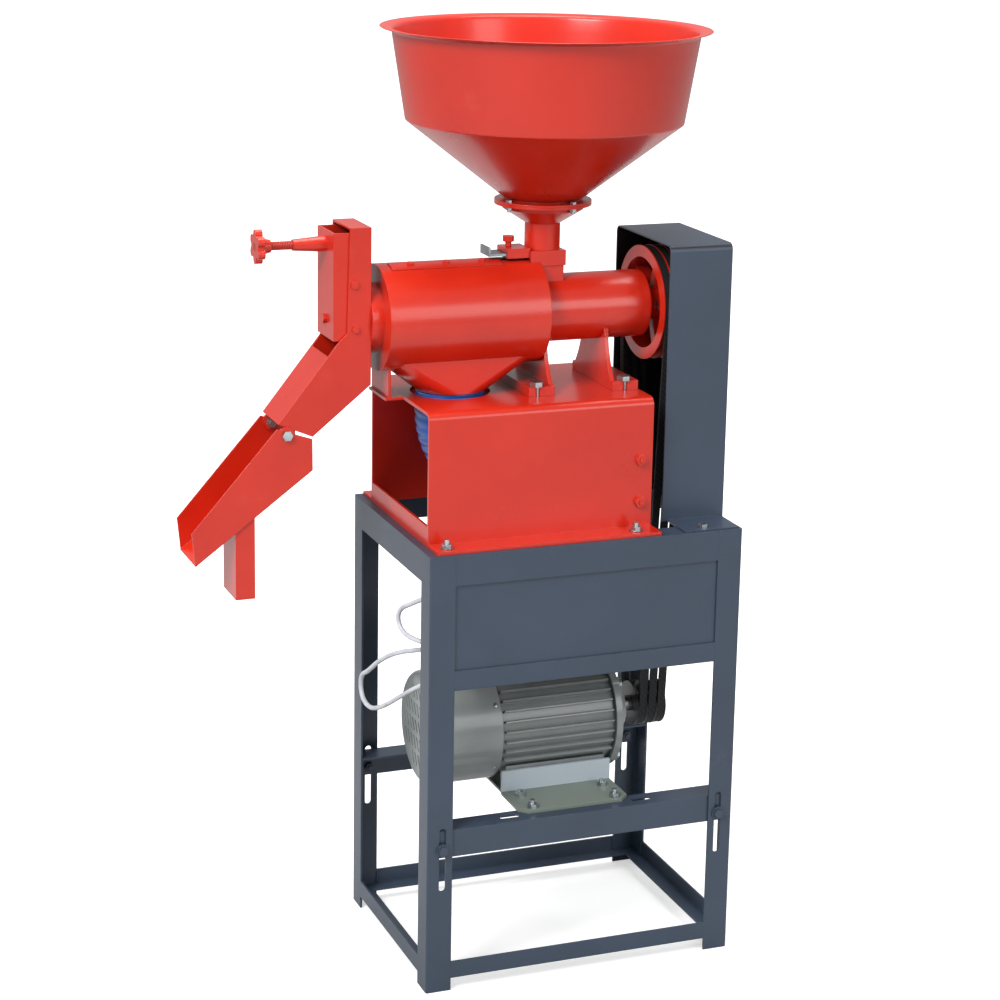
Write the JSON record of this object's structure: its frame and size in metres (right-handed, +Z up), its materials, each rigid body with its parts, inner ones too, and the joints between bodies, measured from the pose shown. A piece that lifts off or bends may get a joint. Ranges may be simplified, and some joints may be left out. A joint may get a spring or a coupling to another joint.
{
  "type": "rice huller",
  "caption": "Belt-driven rice huller and mill: round feed hopper, ribbed roller chamber with screw-set outlet gate and chutes, on an angle-iron stand with motor below.",
  "frame": {"origin": "on the floor under the middle of the whole machine, which stands upright", "axes": "+Z up; +X from the discharge chutes towards the belt guard, along the shafts; -Y is the front with the panel"},
  "size_m": [0.785, 0.472, 1.3675],
  "materials": {
    "red_paint": "glossy red enamel",
    "grey_paint": "satin blue-grey paint",
    "motor_paint": "grey-green machine paint",
    "motor_foot_paint": "pale blue-grey paint",
    "zinc": "zinc-plated fasteners",
    "bare_steel": "machined steel",
    "screen_steel": "pressed steel sheet",
    "iron": "machined cast iron",
    "black_paint": "black paint",
    "black_plastic": "moulded plastic",
    "belt_rubber": "rubber V-belt",
    "blue_hose": "ribbed plastic hose",
    "white_sheath": "white cable sheath",
    "spring_steel": "spring wire"
  },
  "bodies": {
    "stand": {"leg_front_left": "grey_paint", "leg_front_right": "grey_paint", "leg_rear_left": "grey_paint", "leg_rear_right": "grey_paint", "top_rails": "grey_paint", "bottom_rails": "grey_paint", "panel_rail": "grey_paint", "front_panel": "grey_paint", "belt_guard": "grey_paint", "frame_bolts": "zinc", "hopper_bolts": "zinc", "chute_bolts": "zinc", "shaft_bearings": "bare_steel", "rice_screen": "screen_steel", "drive_belts": "belt_rubber", "bran_hose": "blue_hose", "gate_spring": "spring_steel", "machine_base": "red_paint", "bran_collar": "red_paint", "bearing_housing": "red_paint", "chamber_shell": "red_paint", "chamber_lid": "red_paint", "feed_inlet": "red_paint", "hopper_base": "red_paint", "hopper_bowl": "red_paint", "outlet_housing": "red_paint", "outlet_cover": "red_paint", "gate_pins": "red_paint", "spring_bolt": "red_paint"},
    "mill_rotor": {"main_shaft": "bare_steel", "feed_screw": "iron", "milling_roller": "iron", "main_pulley": "red_paint"},
    "motor_platform": {"motor_rail_front": "grey_paint", "motor_rail_rear": "grey_paint", "rail_bolts": "zinc", "motor_stator": "motor_paint", "drive_end_shield": "motor_paint", "fan_end_shield": "motor_paint", "fan_cover": "motor_paint", "motor_bearings": "bare_steel", "motor_feet": "motor_foot_paint", "motor_bolts": "zinc", "terminal_box": "motor_paint", "terminal_box_lid": "motor_paint", "cable_gland": "black_plastic", "power_lead": "white_sheath", "lead_coil": "white_sheath", "coil_tie": "white_sheath", "plug": "white_sheath"},
    "motor_rotor": {"rotor_shaft": "bare_steel", "cooling_fan": "black_plastic", "motor_pulley": "black_paint"},
    "feed_slide": {"feed_gate": "bare_steel"},
    "lock_screw": {"gate_lock_screw": "red_paint"},
    "thrust_slide": {"thrust_pad": "bare_steel"},
    "hand_screw": {"spindle": "bare_steel", "handwheel": "red_paint"},
    "gate_lever": {"pressure_gate": "red_paint"},
    "tilting_chute": {"lower_chute": "red_paint"}
  },
  "joints": [
    {"name": "main_shaft_spin", "type": "hinge", "parent": "stand", "child": "mill_rotor", "pos_m": [0.2125, 0, 0.964], "axis": [1, 0, 0], "continuous": true},
    {"name": "motor_spin", "type": "hinge", "parent": "motor_platform", "child": "motor_rotor", "pos_m": [0.1525, 0, 0.34], "axis": [1, 0, 0], "continuous": true},
    {"name": "motor_platform_height", "type": "slide", "parent": "stand", "child": "motor_platform", "axis": [0, 0, 1], "range_m": [-0.055, 0.025], "deforming": ["drive_belts"]},
    {"name": "feed_gate_slide", "type": "slide", "parent": "stand", "child": "feed_slide", "axis": [-1, 0, 0], "range_m": [0, 0.042]},
    {"name": "gate_lock_turn", "type": "hinge", "parent": "stand", "child": "lock_screw", "pos_m": [0.0865, 0, 1.06], "axis": [0, 0, 1], "range_deg": [0, 720]},
    {"name": "thrust_advance", "type": "slide", "parent": "stand", "child": "thrust_slide", "axis": [1, 0, 0], "range_m": [0, 0.009]},
    {"name": "handwheel_turn", "type": "hinge", "parent": "thrust_slide", "child": "hand_screw", "pos_m": [-0.2275, 0, 1.073], "axis": [1, 0, 0], "range_deg": [0, 2160]},
    {"name": "pressure_gate_swing", "type": "hinge", "parent": "stand", "child": "gate_lever", "pos_m": [-0.1565, 0, 1.0205], "axis": [0, 1, 0], "range_deg": [0, 10], "deforming": ["gate_spring"]},
    {"name": "lower_chute_tilt", "type": "hinge", "parent": "stand", "child": "tilting_chute", "pos_m": [-0.2555, 0, 0.813], "axis": [0, 1, 0], "range_deg": [-15, 30]}
  ],
  "couplings": [
    {"joint": "motor_spin", "follows": "main_shaft_spin", "ratio": 2.4706},
    {"joint": "handwheel_turn", "follows": "thrust_advance", "rad_per_m": 4188.8},
    {"joint": "pressure_gate_swing", "follows": "thrust_advance", "rad_per_m": 19.048}
  ]
}
